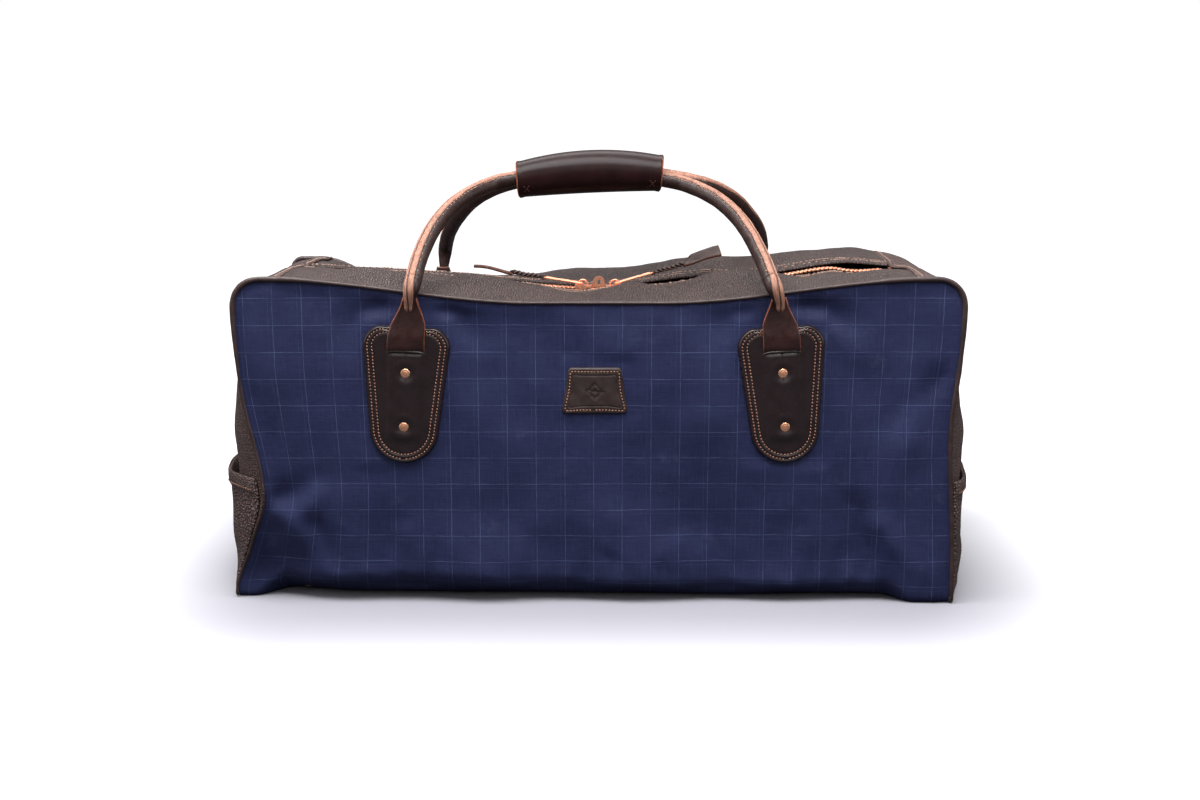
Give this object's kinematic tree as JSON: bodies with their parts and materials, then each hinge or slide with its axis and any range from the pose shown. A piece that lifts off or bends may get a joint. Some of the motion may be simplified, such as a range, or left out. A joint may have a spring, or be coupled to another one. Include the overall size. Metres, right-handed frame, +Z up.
{
  "type": "weekender duffel bag",
  "caption": "Soft zip-top duffel bag with canvas sides, leather top and ends, end pockets, and rolled carry handles that meet in a grip wrap.",
  "frame": {"origin": "on the floor under the middle of the bag", "axes": "+X along the bag to its right end, +Y to the rear panel, +Z up; the labelled panel faces -Y"},
  "size_m": [0.6052, 0.27, 0.3485],
  "materials": {
    "canvas": "waxed, matte",
    "pebbled_leather": "pebbled, semi-matte",
    "smooth_leather": "smooth, satin",
    "strap_leather": "smooth, satin",
    "handle_leather": "rolled, raw edges",
    "grip_leather": "oiled, glossy",
    "braid_leather": "braided, satin",
    "copper": "rose copper, satin",
    "zip_tape": "woven, matte",
    "lining": "plain weave, matte",
    "base_board": "matte",
    "core_cord": "twisted cord, matte"
  },
  "bodies": {
    "bag_body": {"front_panel": "canvas", "rear_panel": "canvas", "bottom_panel": "canvas", "base_board": "base_board", "lining": "lining", "end_panel_left": "pebbled_leather", "end_panel_right": "pebbled_leather", "end_pocket_left": "pebbled_leather", "end_pocket_right": "pebbled_leather", "piping_front": "smooth_leather", "piping_rear": "smooth_leather", "top_edge_front": "pebbled_leather", "top_edge_rear": "pebbled_leather", "patch_front_left": "smooth_leather", "patch_front_right": "smooth_leather", "patch_rear_left": "smooth_leather", "patch_rear_right": "smooth_leather", "tab_front_left": "strap_leather", "tab_front_right": "strap_leather", "tab_rear_left": "strap_leather", "tab_rear_right": "strap_leather", "backing_front": "smooth_leather", "backing_rear": "smooth_leather", "rivets_front": "copper", "rivets_rear": "copper", "burrs_front": "copper", "burrs_rear": "copper", "label": "smooth_leather", "zip_stops": "copper"},
    "top_front": {"top_strip_front": "pebbled_leather", "zip_tape_front": "zip_tape", "zip_teeth_front": "copper"},
    "top_rear": {"top_strip_rear": "pebbled_leather", "zip_tape_rear": "zip_tape", "zip_teeth_rear": "copper"},
    "slider_left": {"slider_left": "copper"},
    "slider_right": {"slider_right": "copper"},
    "pull_left": {"pull_left": "copper"},
    "pull_right": {"pull_right": "copper"},
    "tail_left": {"tail_left": "braid_leather"},
    "tail_right": {"tail_right": "braid_leather"},
    "handle_front": {"handle_roll_front": "handle_leather", "handle_core_front": "core_cord", "grip_wrap_front": "grip_leather", "handle_necks_front": "handle_leather"},
    "handle_rear": {"handle_roll_rear": "handle_leather", "handle_core_rear": "core_cord", "grip_wrap_rear": "grip_leather", "handle_necks_rear": "handle_leather"}
  },
  "joints": [
    {"name": "mouth_open", "type": "hinge", "parent": "bag_body", "child": "top_front", "pos_m": [0, -0.117, 0.242], "axis": [1, 0, 0], "range_deg": [0, 30], "deforming": ["zip_tape_front", "zip_teeth_front"]},
    {"name": "mouth_open_rear", "type": "hinge", "parent": "bag_body", "child": "top_rear", "pos_m": [0, 0.117, 0.242], "axis": [-1, 0, 0], "range_deg": [0, 30], "deforming": ["zip_tape_rear", "zip_teeth_rear"]},
    {"name": "slider_left_run", "type": "slide", "parent": "bag_body", "child": "slider_left", "axis": [-0.9976, 0, 0.0698], "range_m": [0, 0.222]},
    {"name": "slider_right_run", "type": "slide", "parent": "bag_body", "child": "slider_right", "axis": [0.9976, 0, 0.0698], "range_m": [0, 0.222]},
    {"name": "pull_left_lift", "type": "hinge", "parent": "slider_left", "child": "pull_left", "pos_m": [-0.01331, 0, 0.24014], "axis": [0, 1, 0], "range_deg": [0, 130]},
    {"name": "pull_right_lift", "type": "hinge", "parent": "slider_right", "child": "pull_right", "pos_m": [0.01331, 0, 0.24014], "axis": [0, -1, 0], "range_deg": [0, 125]},
    {"name": "tail_left_hang", "type": "hinge", "parent": "pull_left", "child": "tail_left", "pos_m": [-0.04591, 0, 0.2453], "axis": [0, 1, 0], "range_deg": [-130, 0]},
    {"name": "tail_right_hang", "type": "hinge", "parent": "pull_right", "child": "tail_right", "pos_m": [0.04503, 0, 0.24924], "axis": [0, -1, 0], "range_deg": [-125, 0]},
    {"name": "handle_front_drop", "type": "hinge", "parent": "bag_body", "child": "handle_front", "pos_m": [0, -0.136, 0.24], "axis": [1, 0, 0], "range_deg": [0, 195], "deforming": ["handle_necks_front"]},
    {"name": "handle_rear_drop", "type": "hinge", "parent": "bag_body", "child": "handle_rear", "pos_m": [0, 0.136, 0.24], "axis": [-1, 0, 0], "range_deg": [0, 195], "deforming": ["handle_necks_rear"]}
  ],
  "couplings": [
    {"joint": "mouth_open_rear", "follows": "mouth_open", "ratio": 1},
    {"joint": "tail_left_hang", "follows": "pull_left_lift", "ratio": -1},
    {"joint": "tail_right_hang", "follows": "pull_right_lift", "ratio": -1},
    {"joint": "slider_left_run", "follows": "mouth_open", "m_per_rad": 0.422},
    {"joint": "slider_right_run", "follows": "mouth_open", "m_per_rad": 0.422}
  ]
}
